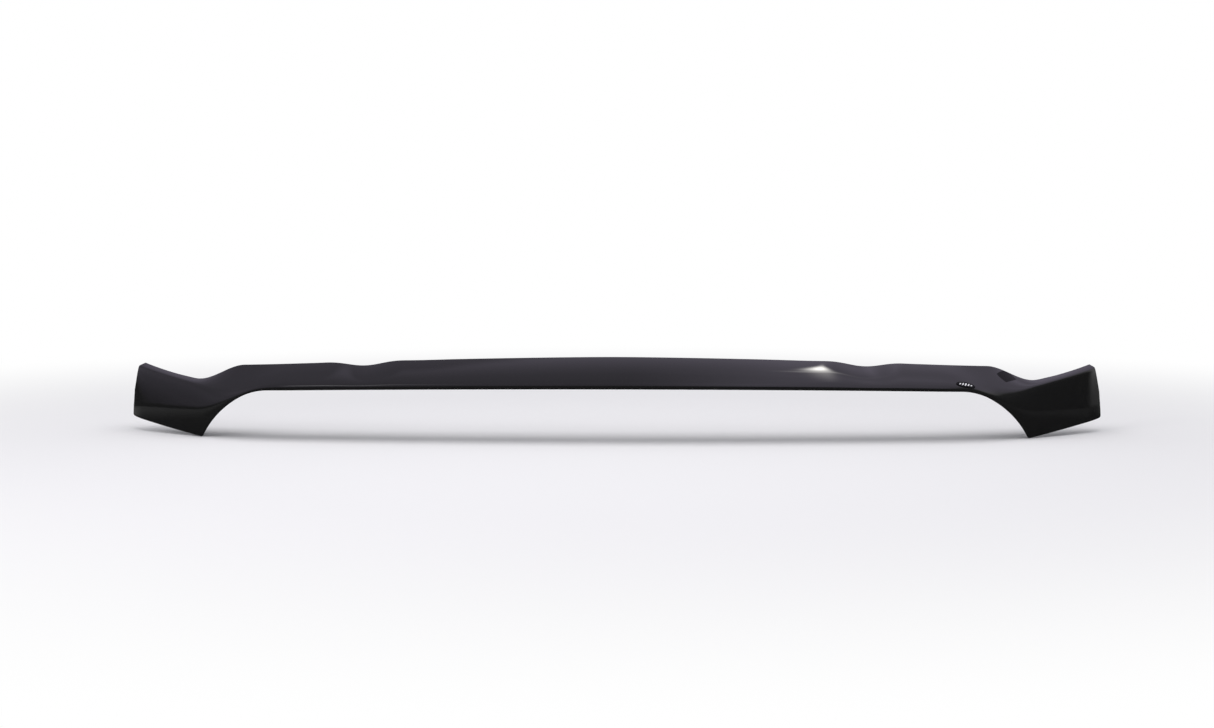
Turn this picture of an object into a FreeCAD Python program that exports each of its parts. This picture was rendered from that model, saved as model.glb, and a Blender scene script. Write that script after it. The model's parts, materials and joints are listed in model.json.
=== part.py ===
import FreeCAD, Part
import math
import os
import Sketcher
from FreeCAD import Vector

# Hood bug deflector: one thin moulded acrylic shield that wraps the leading edge
# of a pickup hood, with the foam tape that holds it, the clear bumpers that its
# rear edge rides on, and one small oval badge.
# Millimetres. +X is the viewer's right, the front faces -Y, +Z is up. The origin
# is the middle of the lower front edge, on the outer face.

os.makedirs("parts", exist_ok=True)
doc = FreeCAD.newDocument("BugDeflector")

# Driving dimensions

sheet = doc.addObject("Spreadsheet::Sheet", "Sizes")
SIZES = [
    # whole shield
    ("width", 1750.0),
    ("wall", 3.0),
    # plan of the front line: a shallow bow, with the sweep back of each wing on top
    ("bow_depth", 85.07),
    ("sweep_depth", 129.0),
    ("sweep_run", 315.0),
    ("edge_roll", 10.0),
    ("edge_roll_width", 24.0),
    # rear edge, seen from the front, from the outer side inwards
    ("tip_height", 27.0),
    ("valley_inset", 129.0),
    ("valley_height", 0.5),
    ("valley_run", 86.0),
    ("shoulder_height", 28.8),
    ("dip_inset", 219.0),
    ("dip_width", 124.0),
    ("dip_depth", 7.0),
    ("crown_height", 48.7),
    # section of the moulding at the middle and at the wings
    ("flap_depth", 98.0),
    ("wing_flap_depth", 68.0),
    ("flap_rise", 17.3),
    ("nose_height", 6.0),
    ("wing_nose_drop", 38.0),
    ("tuck_depth", 13.5),
    ("wing_tuck_depth", 7.5),
    ("hem_depth", 10.0),
    # crease of the wings: it climbs outwards from its lowest place, over a leaning face
    ("crease_inset", 205.0),
    ("crease_drop", 7.5),
    ("crease_run", 50.0),
    ("crease_width", 14.0),
    ("face_lean", 3.5),
    # lower outline from the outer side inwards: side, headlamp edge, grille corner, flat arch
    ("side_lean", 16.0),
    ("side_bulge", 2.5),
    ("lamp_drop", 69.0),
    ("lamp_run", 147.0),
    ("corner_drop", 94.0),
    ("corner_run", 74.0),
    ("haunch_drop", 20.0),
    ("haunch_run", 50.0),
    ("arch_drop", 7.0),
    ("inner_corner_radius", 3.0),
    ("lower_corner_radius", 6.0),
    ("upper_corner_radius", 9.0),
    # foam tape
    ("tape_width", 12.7),
    ("tape_thickness", 1.1),
    ("tape_margin", 3.0),
    ("tape_gap", 4.0),
    ("side_tape_top", 2.0),
    # clear bumpers under the rear edge
    ("bumper_base", 12.7),
    ("bumper_top", 9.5),
    ("bumper_height", 3.0),
    ("bumper_margin", 16.0),
    ("bumper_shoulder_inset", 100.0),
    ("bumper_wing_inset", 75.0),
    # badge
    ("badge_length", 35.0),
    ("badge_width", 16.0),
    ("badge_thickness", 1.2),
    ("badge_offset", 7.0),
    ("badge_height", 4.6),
    ("badge_edge_radius", 0.5),
]
# Reaches from the middle, each measured in from its neighbour on the outside
REACHES = [
    ("half_width", "=width / 2"),
    ("sweep_start", "=half_width - sweep_run"),
    ("valley_reach", "=half_width - valley_inset"),
    ("shoulder_reach", "=valley_reach - valley_run"),
    ("crease_reach", "=half_width - crease_inset"),
    ("dip_reach", "=shoulder_reach - dip_inset"),
    ("corner_reach", "=half_width - lamp_run"),
    ("haunch_reach", "=corner_reach - corner_run"),
    ("arch_reach", "=haunch_reach - haunch_run"),
    ("badge_reach", "=arch_reach + badge_offset"),
    # the six bumpers under the dome stand at even distances
    ("bumper_shoulder_reach", "=shoulder_reach - bumper_shoulder_inset"),
    ("bumper_inner_reach", "=bumper_shoulder_reach / 5"),
    ("bumper_dome_reach", "=3 * bumper_inner_reach"),
    ("bumper_wing_reach", "=half_width - bumper_wing_inset"),
]
for row, (name, content) in enumerate(SIZES + REACHES, start=1):
    sheet.set("A%d" % row, name)
    sheet.set("B%d" % row, str(content))
    sheet.setAlias("B%d" % row, name)
doc.recompute()
size = {name: float(getattr(sheet, name)) for name, content in SIZES + REACHES}
half_width = size["half_width"]

# Pure shape numbers: how each curve swells, not how long it is
CROWN_SWELL = 1.6
TIP_SWELL = 1.25
CREASE_FOLLOWS_DIP = 0.5
CREASE_SLOPE = 0.19
MID_PULL = 0.60
SECTION_POINTS = 39
FINE_STEPS = 300

# How far the face has turned under the foremost line at the lower edge's height
edge_tuck = size["tuck_depth"] * (size["nose_height"] / (size["nose_height"] + size["hem_depth"])) ** 2


def blend(value, start, end):
    """Smooth step from 0 at start to 1 at end."""
    part = min(max((value - start) / (end - start), 0.0), 1.0)
    return part * part * (3 - 2 * part)


def wing(reach):
    """0 over the middle of the hood, 1 where the wing's section is reached."""
    return blend(reach, size["arch_reach"], size["corner_reach"] + size["tape_width"])


def mix(middle, outer, share):
    return middle + (outer - middle) * share


def front_line(reach):
    """Plan curve of the foremost line, in front of the lower edge."""
    bow = size["bow_depth"] * (reach / half_width) ** 2
    past = max(reach - size["sweep_start"], 0.0) / (half_width - size["sweep_start"])
    return bow + size["sweep_depth"] * past ** 2 - edge_tuck


def roll(reach):
    """Extra turn of the face towards the fender, close to the outer side."""
    past = max(reach - half_width + size["edge_roll_width"], 0.0) / size["edge_roll_width"]
    return size["edge_roll"] * past ** 2


def crown(reach):
    """Rear edge of the hood's crown, before its dips and valleys."""
    fall = size["crown_height"] - size["shoulder_height"]
    return size["crown_height"] - fall * (reach / size["shoulder_reach"]) ** CROWN_SWELL


def dip(reach):
    """Shallow trough between the raised middle and the shoulder."""
    part = (reach - size["dip_reach"]) / (size["dip_width"] / 2)
    if abs(part) >= 1:
        return 0.0
    return size["dip_depth"] * math.cos(part * math.pi / 2) ** 2


def rear_height(reach):
    """Height of the rear edge over the middle of the lower edge."""
    drop = crown(size["valley_reach"]) - size["valley_height"]
    rise = size["tip_height"] - (crown(half_width) - drop)
    past = max(reach - size["valley_reach"], 0.0) / (half_width - size["valley_reach"])
    valley = drop * blend(reach, size["shoulder_reach"], size["valley_reach"])
    return crown(reach) - dip(reach) - valley + rise * past ** TIP_SWELL


def wing_crease(reach):
    """Height of the wing's crease, which climbs ever faster and then evenly."""
    past = max(reach - size["crease_reach"], 0.0)
    run = size["crease_run"]
    climb = past ** 2 / (2 * run) if past < run else past - run / 2
    return CREASE_SLOPE * climb - size["crease_drop"]


def soft_bend(nose_point, crease, rear_point):
    """Control points of the wide bend over the middle of the hood."""
    low = nose_point + (crease - nose_point) * MID_PULL
    high = rear_point + (crease - rear_point) * MID_PULL
    return [(nose_point + low) / 2, (nose_point + low * 2 + high) / 4,
            (nose_point + low * 3 + high * 3 + rear_point) / 8,
            (low + high * 2 + rear_point) / 4, (high + rear_point) / 2]


def tight_bend(nose_point, crease, rear_point):
    """Control points of the narrow bend between the wing's flat face and its flap."""
    up = (crease - nose_point).normalize()
    away = (rear_point - crease).normalize()
    half = size["crease_width"] / 2
    return [nose_point + (crease - nose_point) * 0.4, crease - up * half,
            crease + (away - up) * (half / 2), crease + away * half,
            rear_point - (rear_point - crease) / 2]


def bezier(poles, part):
    rest = 1 - part
    return (poles[0] * rest ** 3 + poles[1] * (3 * part * rest ** 2)
            + poles[2] * (3 * part ** 2 * rest) + poles[3] * part ** 3)


def profile(x):
    """Section of the outer face at x, from the hem up to the rear edge, evenly spaced."""
    reach = abs(x)
    share = wing(reach)
    front = front_line(reach) + roll(reach)
    arch = size["arch_drop"] * (reach / size["arch_reach"]) ** 2
    nose = size["nose_height"] - arch - size["wing_nose_drop"] * share
    hem = -size["hem_depth"] - arch - (size["corner_drop"] - size["arch_drop"]) * share
    tuck = mix(size["tuck_depth"], size["wing_tuck_depth"], share)
    depth = mix(size["flap_depth"], size["wing_flap_depth"],
                blend(reach, size["shoulder_reach"], half_width))
    top = rear_height(reach)
    middle_crease = top + (1 - CREASE_FOLLOWS_DIP) * dip(reach) - size["flap_rise"]
    crease_height = mix(middle_crease, wing_crease(reach),
                        blend(reach, size["arch_reach"] - size["crease_run"] / 2,
                              size["crease_reach"]))
    nose_point = Vector(x, front, nose)
    crease = Vector(x, front + size["face_lean"] * share, crease_height)
    rear_point = Vector(x, front_line(reach) + depth, top)
    tightness = blend(reach, size["arch_reach"], size["valley_reach"])
    bends = zip(soft_bend(nose_point, crease, rear_point), tight_bend(nose_point, crease, rear_point))
    poles = [nose_point] + [mix(soft, tight, tightness) for soft, tight in bends] + [rear_point]
    points = []
    for step in range(FINE_STEPS):
        part = 1 - step / FINE_STEPS
        points.append(Vector(x, front + tuck * part ** 2, nose + (hem - nose) * part))
    points += [bezier(poles[:4], step / FINE_STEPS) for step in range(FINE_STEPS)]
    points += [bezier(poles[3:], step / FINE_STEPS) for step in range(FINE_STEPS + 1)]
    return evenly_spaced(points, SECTION_POINTS)


def evenly_spaced(points, count, start=0.0, end=None):
    """Points at equal distances along a fine chain, between two distances on it."""
    distances = [0.0]
    for before, after in zip(points, points[1:]):
        distances.append(distances[-1] + before.distanceToPoint(after))
    last = distances[-1] if end is None else end
    chosen = []
    index = 1
    for number in range(count):
        target = start + (last - start) * number / (count - 1)
        while distances[index] < target and index < len(points) - 1:
            index += 1
        share = (target - distances[index - 1]) / (distances[index] - distances[index - 1])
        chosen.append(points[index - 1] + (points[index] - points[index - 1]) * share)
    return chosen


def stations():
    """Reaches of the sections, closer together where the shape changes faster."""
    dip_half = 0.65 * size["dip_width"]
    stops = [
        (0.0, 5),
        (size["dip_reach"] - dip_half, 7),
        (size["dip_reach"] + dip_half, 6),
        (size["arch_reach"] + 0.7 * (size["shoulder_reach"] - size["arch_reach"]), 5),
        (0.6 * size["shoulder_reach"] + 0.4 * size["valley_reach"], 4),
        (size["valley_reach"], 5),
        (half_width - size["edge_roll_width"], 3),
        (half_width + size["edge_roll_width"] / 2, 1),
    ]
    reaches = []
    for (start, count), (end, unused) in zip(stops, stops[1:]):
        reaches += [start + (end - start) * step / count for step in range(count)]
    reaches.append(stops[-1][0])
    return reaches


def bind(item, name, expression):
    item.setExpression(name, expression)


# The outer face as one smooth surface through the sections

right_reaches = stations()
places = [-reach for reach in reversed(right_reaches[1:])] + right_reaches
fractions = [number / (SECTION_POINTS - 1) for number in range(SECTION_POINTS)]


def spline(points, parameters):
    curve = Part.BSplineCurve()
    curve.interpolate(Points=points, Parameters=parameters)
    return curve


def surface_through(grid, along, across):
    """Surface that passes through every point of a grid of rows."""
    rows = [spline(row, across) for row in grid]
    columns = []
    for poles in zip(*[row.getPoles() for row in rows]):
        columns.append(spline(list(poles), along))
    surface = Part.BSplineSurface()
    surface.buildFromPolesMultsKnots(
        [list(poles) for poles in zip(*[column.getPoles() for column in columns])],
        columns[0].getMultiplicities(), rows[0].getMultiplicities(),
        columns[0].getKnots(), rows[0].getKnots(), False, False,
        columns[0].Degree, rows[0].Degree)
    return surface


def behind(surface, depth, along, across):
    """Smooth surface at an even depth behind another, through the same grid."""
    grid = []
    for u in along:
        grid.append([surface.value(u, v) - surface.normal(u, v) * depth for v in across])
    return surface_through(grid, along, across)


def wall_between(near, far):
    """Straight wall between two curves with the same knots."""
    wall = Part.BSplineSurface()
    wall.buildFromPolesMultsKnots(
        [near.getPoles(), far.getPoles()], [2, 2], near.getMultiplicities(),
        [0.0, 1.0], near.getKnots(), False, False, 1, near.Degree)
    return wall.toShape()


def solid_between(near, far):
    """Closed solid from two like surfaces and the straight walls between their borders."""
    first_u, last_u, first_v, last_v = near.bounds()
    faces = [near.toShape(), far.toShape()]
    for place in (first_u, last_u):
        faces.append(wall_between(near.uIso(place), far.uIso(place)))
    for place in (first_v, last_v):
        faces.append(wall_between(near.vIso(place), far.vIso(place)))
    hull = Part.Compound(faces)
    hull.sewShape()
    solid = Part.Solid(hull.Shells[0])
    if solid.Volume < 0:
        solid.reverse()
    return solid


def feature(name, shape):
    item = doc.addObject("Part::Feature", name)
    item.Shape = shape
    return item


outer_surface = surface_through([profile(x) for x in places], places, fractions)
inner_surface = behind(outer_surface, size["wall"], places, fractions)
wall_slab = feature("WallSlab", solid_between(outer_surface, inner_surface))


def spot(surface, x, z):
    """Parameters of the surface where it shows at x and z in the front view."""
    u = x
    for attempt in range(4):
        low, high = fractions[0], fractions[-1]
        while high - low > 1e-7:
            middle = (low + high) / 2
            if surface.value(u, middle).z < z:
                low = middle
            else:
                high = middle
        u += x - surface.value(u, low).x
    return u, low


# Front view of the shield: everything outside this outline is trimmed away.
# The prism starts well in front of the nose and ends well behind the last flap.

TRIM_START = -60.0
TRIM_LENGTH = 2 * (size["bow_depth"] + size["sweep_depth"])
TRIM_HEADROOM = 20.0
# Numbers by which a sketch knows its origin, its upright axis and an arc's centre
ORIGIN_INDEX = -1
UPRIGHT_INDEX = -2
CENTRE_INDEX = 3

outline = doc.addObject("Sketcher::SketchObject", "Outline")
outline.Placement = FreeCAD.Placement(Vector(0, TRIM_START, 0),
                                      FreeCAD.Rotation(Vector(1, 0, 0), 90))


def tangent_arc(start, direction, end):
    """Arc that leaves start along a direction and reaches end, with its last direction."""
    chord = end - start
    normal = Vector(-direction.y, direction.x, 0)
    radius = chord.dot(chord) / (2 * chord.dot(normal))
    centre = start + normal * radius
    outwards = start + chord / 2 - centre
    middle = centre + outwards / outwards.Length * abs(radius)
    unit = chord / chord.Length
    return Part.Arc(start, middle, end), unit * (2 * unit.dot(direction)) - direction


def end_near(geometry, point):
    """Which end of a piece of the outline lies at a point: 1 the first, 2 the last."""
    first, last = outline.getPoint(geometry, 1), outline.getPoint(geometry, 2)
    return 1 if first.distanceToPoint(point) < last.distanceToPoint(point) else 2


def join(first, second, point, kind="Coincident"):
    """Join the ends that two pieces of the outline have at a point."""
    outline.addConstraint(Sketcher.Constraint(kind, first, end_near(first, point),
                                              second, end_near(second, point)))


def hold(kind, geometry, point, expression):
    """Hold an end's distance from the origin to an expression."""
    end = end_near(geometry, point)
    held = point.x if kind == "DistanceX" else point.y
    index = outline.addConstraint(Sketcher.Constraint(kind, ORIGIN_INDEX, 1, geometry, end, held))
    bind(outline, "Constraints[%d]" % index, expression)


def draw_side(side, arch):
    """Grille corner, lamp edge, outer side and headroom of one half; returns its top end."""
    sign = "" if side > 0 else "-"
    corners = {
        "arch": Vector(side * size["arch_reach"], -size["arch_drop"], 0),
        "haunch": Vector(side * size["haunch_reach"], -size["haunch_drop"], 0),
        "corner": Vector(side * size["corner_reach"], -size["corner_drop"], 0),
        "lamp": Vector(side * half_width, -size["lamp_drop"], 0),
        "tip": Vector(side * (half_width - size["side_lean"]), size["tip_height"], 0),
        "valley": Vector(side * size["valley_reach"], size["tip_height"], 0),
        "headroom": Vector(side * size["valley_reach"], size["crown_height"] + TRIM_HEADROOM, 0),
    }
    places_of = {
        "haunch": ("Sizes.haunch_reach", "-Sizes.haunch_drop"),
        "corner": ("Sizes.corner_reach", "-Sizes.corner_drop"),
        "lamp": ("Sizes.width / 2", "-Sizes.lamp_drop"),
        "tip": ("(Sizes.width / 2 - Sizes.side_lean)", "Sizes.tip_height"),
        "valley": ("Sizes.valley_reach", "Sizes.tip_height"),
    }
    along = Vector(side, -2 * size["arch_drop"] / size["arch_reach"], 0)
    haunch_arc, along = tangent_arc(corners["arch"], along / along.Length, corners["haunch"])
    corner_arc, along = tangent_arc(corners["haunch"], along, corners["corner"])
    side_middle = (corners["lamp"] + corners["tip"]) / 2 + Vector(side * size["side_bulge"], 0, 0)
    haunch = outline.addGeometry(haunch_arc)
    corner = outline.addGeometry(corner_arc)
    lamp = outline.addGeometry(Part.LineSegment(corners["corner"], corners["lamp"]))
    outer = outline.addGeometry(Part.Arc(corners["lamp"], side_middle, corners["tip"]))
    tip = outline.addGeometry(Part.LineSegment(corners["tip"], corners["valley"]))
    rise = outline.addGeometry(Part.LineSegment(corners["valley"], corners["headroom"]))
    join(arch, haunch, corners["arch"], "Tangent")
    join(haunch, corner, corners["haunch"], "Tangent")
    join(corner, lamp, corners["corner"])
    join(lamp, outer, corners["lamp"])
    join(outer, tip, corners["tip"])
    join(tip, rise, corners["valley"])
    for geometry, name in ((haunch, "haunch"), (corner, "corner"), (lamp, "lamp"),
                           (outer, "tip"), (tip, "valley")):
        reach, height = places_of[name]
        hold("DistanceX", geometry, corners[name], sign + reach)
        hold("DistanceY", geometry, corners[name], height)
    length_squared = "((Sizes.lamp_drop + Sizes.tip_height)^2 + Sizes.side_lean^2)"
    radius = outline.addConstraint(Sketcher.Constraint("Radius", outer, outline.Geometry[outer].Radius))
    bind(outline, "Constraints[%d]" % radius,
         length_squared + " / (8 * Sizes.side_bulge) + Sizes.side_bulge / 2")
    outline.addConstraint(Sketcher.Constraint("Vertical", rise))
    hold("DistanceY", rise, corners["headroom"], "Sizes.crown_height + %f" % TRIM_HEADROOM)
    return rise, corners["headroom"], (haunch, corner, lamp, outer)


arch_right = Vector(size["arch_reach"], -size["arch_drop"], 0)
arch_left = Vector(-size["arch_reach"], -size["arch_drop"], 0)
arch = outline.addGeometry(Part.Arc(arch_left, Vector(0, 0, 0), arch_right))
outline.addConstraint(Sketcher.Constraint("PointOnObject", ORIGIN_INDEX, 1, arch))
for end, sign in ((arch_left, "-"), (arch_right, "")):
    hold("DistanceX", arch, end, sign + "Sizes.arch_reach")
    if sign == "":
        hold("DistanceY", arch, end, "-Sizes.arch_drop")
outline.addConstraint(Sketcher.Constraint("PointOnObject", arch, CENTRE_INDEX, UPRIGHT_INDEX))
right_rise, right_top, right_edges = draw_side(1, arch)
left_rise, left_top, left_edges = draw_side(-1, arch)
top = outline.addGeometry(Part.LineSegment(left_top, right_top))
join(left_rise, top, left_top)
join(right_rise, top, right_top)
doc.recompute()

outline_prism = doc.addObject("Part::Extrusion", "OutlinePrism")
outline_prism.Base = outline
outline_prism.DirMode = "Custom"
outline_prism.Dir = Vector(0, 1, 0)
outline_prism.Solid = True
outline_prism.LengthFwd = TRIM_LENGTH
doc.recompute()
CORNERS = {
    "inner_corner_radius": (size["corner_reach"], -size["corner_drop"]),
    "lower_corner_radius": (half_width, -size["lamp_drop"]),
    "upper_corner_radius": (half_width - size["side_lean"], size["tip_height"]),
}


def corner_edges(shape):
    """Number and radius of each upright edge of the prism that is rounded."""
    found = []
    for number, edge in enumerate(shape.Edges, start=1):
        ends = [vertex.Point for vertex in edge.Vertexes]
        for name, (reach, height) in CORNERS.items():
            if all(abs(abs(end.x) - reach) < 0.01 and abs(end.z - height) < 0.01 for end in ends):
                found.append((number, size[name], size[name]))
    return found


trim = doc.addObject("Part::Fillet", "RoundedOutlinePrism")
trim.Base = outline_prism
trim.Edges = corner_edges(outline_prism.Shape)

pieces = []


def name_piece(item, label):
    item.Label = label
    pieces.append(item)


def common(name, shapes):
    item = doc.addObject("Part::MultiCommon", name)
    item.Shapes = shapes
    return item


shield = common("Shield", [wall_slab, trim])
name_piece(shield, "shield")


# Foam tape: strips on the inner face, at an even distance inside the outline

CHAIN_STEPS = 60
TAPE_ROWS = 17
TAPE_STEP = 3.0
SEAT_CLEARANCE = 0.1
haunch_edge, corner_edge, lamp_edge, side_edge = [outline.Geometry[index] for index in right_edges]
edge_arch_end = Vector(size["arch_reach"], -size["arch_drop"], 0)
edge_corner = Vector(size["corner_reach"], -size["corner_drop"], 0)


def chain(edges, start):
    """Fine chain of points along joined pieces of the outline, from a point onwards."""
    points = [start]
    for edge in edges:
        first, last = edge.FirstParameter, edge.LastParameter
        piece = [edge.value(first + (last - first) * step / CHAIN_STEPS)
                 for step in range(CHAIN_STEPS + 1)]
        if points[-1].distanceToPoint(piece[-1]) < points[-1].distanceToPoint(piece[0]):
            piece.reverse()
        points += piece[1:]
    return points


def tape_strip(name, label, edges, from_point, start, end):
    """One strip on the right, between two distances along the outline, and its twin."""
    count = 2 + int((end - start) / TAPE_STEP)
    points = evenly_spaced(chain(edges, from_point), count, start, end)
    offsets = [size["tape_margin"] + size["tape_width"] * row / (TAPE_ROWS - 1)
               for row in range(TAPE_ROWS)]
    distances = [start + (end - start) * number / (count - 1) for number in range(count)]
    near_grid = []
    far_grid = []
    for number, point in enumerate(points):
        before = points[max(number - 1, 0)]
        after = points[min(number + 1, count - 1)]
        direction = (after - before).normalize()
        inside = Vector(-direction.y, direction.x, 0)
        spots = [spot(inner_surface, *(point + inside * offset)[:2]) for offset in offsets]
        near_row = []
        far_row = []
        for place in spots:
            normal = inner_surface.normal(*place)
            near_row.append(inner_surface.value(*place) - normal * SEAT_CLEARANCE)
            far_row.append(near_row[-1] - normal * size["tape_thickness"])
        near_grid.append(near_row)
        far_grid.append(far_row)
    near = surface_through(near_grid, distances, offsets)
    far = surface_through(far_grid, distances, offsets)
    strip = feature(name + "Right", solid_between(near, far))
    name_piece(strip, label + "_right")
    twin = doc.addObject("Part::Mirroring", name + "Left")
    twin.Source = strip
    twin.Normal = Vector(1, 0, 0)
    name_piece(twin, label + "_left")


half_gap = size["tape_gap"] / 2
strip_clearance = size["tape_margin"] + size["tape_width"] + size["tape_gap"]
arch_edge = outline.Geometry[arch]
arch_length = arch_edge.length() / 2
arch_angle = arch_length / arch_edge.Radius / 2
arch_middle = arch_edge.Center + Vector(math.sin(arch_angle), math.cos(arch_angle), 0) * arch_edge.Radius
right_half_arch = Part.Arc(Vector(0, 0, 0), arch_middle, edge_arch_end)
corner_length = haunch_edge.length() + corner_edge.length()
tape_strip("FrontTape", "front_tape", [right_half_arch], Vector(0, 0, 0),
           half_gap, arch_length - half_gap)
tape_strip("CornerTape", "corner_tape", [haunch_edge, corner_edge], edge_arch_end,
           half_gap, corner_length - strip_clearance)
tape_strip("HeadlampTape", "headlamp_tape", [lamp_edge], edge_corner,
           size["tape_margin"], lamp_edge.length() - 2 * size["tape_margin"])
tape_strip("SideTape", "side_tape", [side_edge], Vector(half_width, -size["lamp_drop"], 0),
           strip_clearance, size["lamp_drop"] + size["side_tape_top"])


# Clear bumpers: low cones that stand square to the inner face near the rear edge

RIM_POINTS = 12


def rear_seat(reach, margin, radius):
    """Middle of a flat disc laid on the inner face near the rear edge, and its outward normal."""
    section = inner_surface.uIso(reach)
    along = section.parameterAtDistance(section.length() - margin, section.FirstParameter)
    middle = inner_surface.value(reach, along)
    normal = inner_surface.normal(reach, along)
    highest = 0.0
    for number in range(RIM_POINTS):
        angle = 2 * math.pi * number / RIM_POINTS
        rim = inner_surface.value(reach + radius * math.cos(angle),
                                  along + radius * math.sin(angle) / section.length())
        highest = max(highest, (middle - rim).dot(normal))
    return middle - normal * highest, normal


def bumper(number, reach, side):
    """Cone with its wide end on the inner face."""
    seat, normal = rear_seat(side * reach, size["bumper_margin"], size["bumper_base"] / 2)
    side_name = "right" if side > 0 else "left"
    cone = doc.addObject("Part::Cone", "Bumper_%s_%d" % (side_name, number))
    bind(cone, "Radius1", "Sizes.bumper_base / 2")
    bind(cone, "Radius2", "Sizes.bumper_top / 2")
    bind(cone, "Height", "Sizes.bumper_height")
    cone.Placement = FreeCAD.Placement(seat - normal * SEAT_CLEARANCE,
                                       FreeCAD.Rotation(Vector(0, 0, 1), -normal))
    name_piece(cone, "bumper_%s_%d" % (side_name, number))


BUMPER_REACHES = ("bumper_inner_reach", "bumper_dome_reach",
                  "bumper_shoulder_reach", "bumper_wing_reach")
for number, name in enumerate(BUMPER_REACHES, start=1):
    for side in (1, -1):
        bumper(number, size[name], side)


# Badge: a thin oval that follows the outer face, with a softened front edge

BADGE_COLUMN = 12.0
BADGE_SURROUND = 4.0
badge_u, badge_v = spot(outer_surface, size["badge_reach"], size["badge_height"])
badge_seat = outer_surface.value(badge_u, badge_v)
badge_normal = outer_surface.normal(badge_u, badge_v)
badge_side = outer_surface.tangent(badge_u, badge_v)[0]
section_length = outer_surface.uIso(badge_u).length()
PATCH = [-1 + step / 6 for step in range(13)]
patch_u = [badge_u + (size["badge_length"] / 2 + BADGE_SURROUND) * part for part in PATCH]
patch_v = [badge_v + (size["badge_width"] / 2 + BADGE_SURROUND) / section_length * part
           for part in PATCH]
patch = surface_through([[outer_surface.value(u, v) + outer_surface.normal(u, v) * SEAT_CLEARANCE
                          for v in patch_v] for u in patch_u], patch_u, patch_v)
raised = behind(patch, -size["badge_thickness"], patch_u, patch_v)
badge_patch = feature("BadgePatch", solid_between(patch, raised))
oval = doc.addObject("Part::Ellipse", "BadgeOval")
bind(oval, "MajorRadius", "Sizes.badge_length / 2")
bind(oval, "MinorRadius", "Sizes.badge_width / 2")
oval.Placement = FreeCAD.Placement(
    badge_seat - badge_normal * BADGE_COLUMN / 2,
    FreeCAD.Rotation(badge_side, badge_normal.cross(badge_side), badge_normal, "XZY"))
badge_column = doc.addObject("Part::Extrusion", "BadgeColumn")
badge_column.Base = oval
badge_column.DirMode = "Custom"
badge_column.Dir = badge_normal
badge_column.Solid = True
badge_column.LengthFwd = BADGE_COLUMN
badge_blank = common("BadgeBlank", [badge_patch, badge_column])
doc.recompute()
badge = doc.addObject("Part::Fillet", "Badge")
badge.Base = badge_blank
rims = [edge for edge in badge_blank.Shape.Edges if edge.Length > size["badge_length"]]
front_rim = max(rims, key=lambda edge: edge.CenterOfMass.dot(badge_normal))
badge.Edges = [(number, size["badge_edge_radius"], size["badge_edge_radius"])
               for number, edge in enumerate(badge_blank.Shape.Edges, start=1)
               if edge.isSame(front_rim)]
name_piece(badge, "badge")


# Check every object, then write one file for each piece

doc.recompute()
for item in doc.Objects:
    if "Invalid" in item.State or "Error" in item.State:
        raise RuntimeError("%s did not build: %s" % (item.Name, item.State))
for item in pieces:
    shape = item.Shape
    if shape.isNull() or not shape.isValid() or not shape.Solids:
        raise RuntimeError("%s has no sound solid" % item.Label)
    print("%-18s solids %d  faces %d  volume %.1f" % (
        item.Label, len(shape.Solids), len(shape.Faces), shape.Volume))
    shape.exportStep("parts/%s.step" % item.Label)
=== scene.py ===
import json
import math

import bpy
import numpy as np
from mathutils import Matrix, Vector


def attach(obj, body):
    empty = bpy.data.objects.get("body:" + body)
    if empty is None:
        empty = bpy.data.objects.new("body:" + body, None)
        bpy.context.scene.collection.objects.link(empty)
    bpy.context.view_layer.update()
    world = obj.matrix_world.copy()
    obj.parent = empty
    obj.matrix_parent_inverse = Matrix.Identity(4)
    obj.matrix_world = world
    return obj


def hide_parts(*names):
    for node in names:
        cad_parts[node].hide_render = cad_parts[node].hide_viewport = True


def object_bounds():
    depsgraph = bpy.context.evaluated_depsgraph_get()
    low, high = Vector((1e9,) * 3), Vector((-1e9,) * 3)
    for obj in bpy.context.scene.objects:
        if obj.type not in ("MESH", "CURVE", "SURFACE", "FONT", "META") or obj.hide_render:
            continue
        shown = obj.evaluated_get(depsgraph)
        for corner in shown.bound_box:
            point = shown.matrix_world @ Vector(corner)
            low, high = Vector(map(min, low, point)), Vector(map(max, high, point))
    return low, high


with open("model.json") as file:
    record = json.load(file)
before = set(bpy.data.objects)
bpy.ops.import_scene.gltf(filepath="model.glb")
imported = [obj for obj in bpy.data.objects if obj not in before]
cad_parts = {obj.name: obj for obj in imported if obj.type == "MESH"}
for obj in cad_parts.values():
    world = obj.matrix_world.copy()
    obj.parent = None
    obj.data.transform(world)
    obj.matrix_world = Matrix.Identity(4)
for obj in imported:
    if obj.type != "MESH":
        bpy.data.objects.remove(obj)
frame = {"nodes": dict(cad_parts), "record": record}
cad_low, cad_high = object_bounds()


# Shield
# One sheet of smoked acrylic, 3 mm thick, heated and draped over a mould. Its outline is trimmed
# by router, and the cut edge is rounded over and polished.

# Sizes are in millimetres, from the middle of the front
MM = 0.001
WIDTH = 1750.0
WALL = 3.0
EDGE_ROUND = 0.7
# Places across the width, as reaches from the middle
HALF_WIDTH = WIDTH / 2
VALLEY_REACH = HALF_WIDTH - 129.0
SHOULDER_REACH = VALLEY_REACH - 86.0
DIP_REACH = SHOULDER_REACH - 219.0
CORNER_REACH = HALF_WIDTH - 147.0
HAUNCH_REACH = CORNER_REACH - 74.0
ARCH_REACH = HAUNCH_REACH - 50.0
SWEEP_START = HALF_WIDTH - 315.0
# The front line in plan: its bow, the wings' sweep and the roll at each side
BOW_DEPTH, SWEEP_DEPTH = 85.07, 129.0
EDGE_ROLL, EDGE_ROLL_WIDTH = 10.0, 24.0
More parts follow.
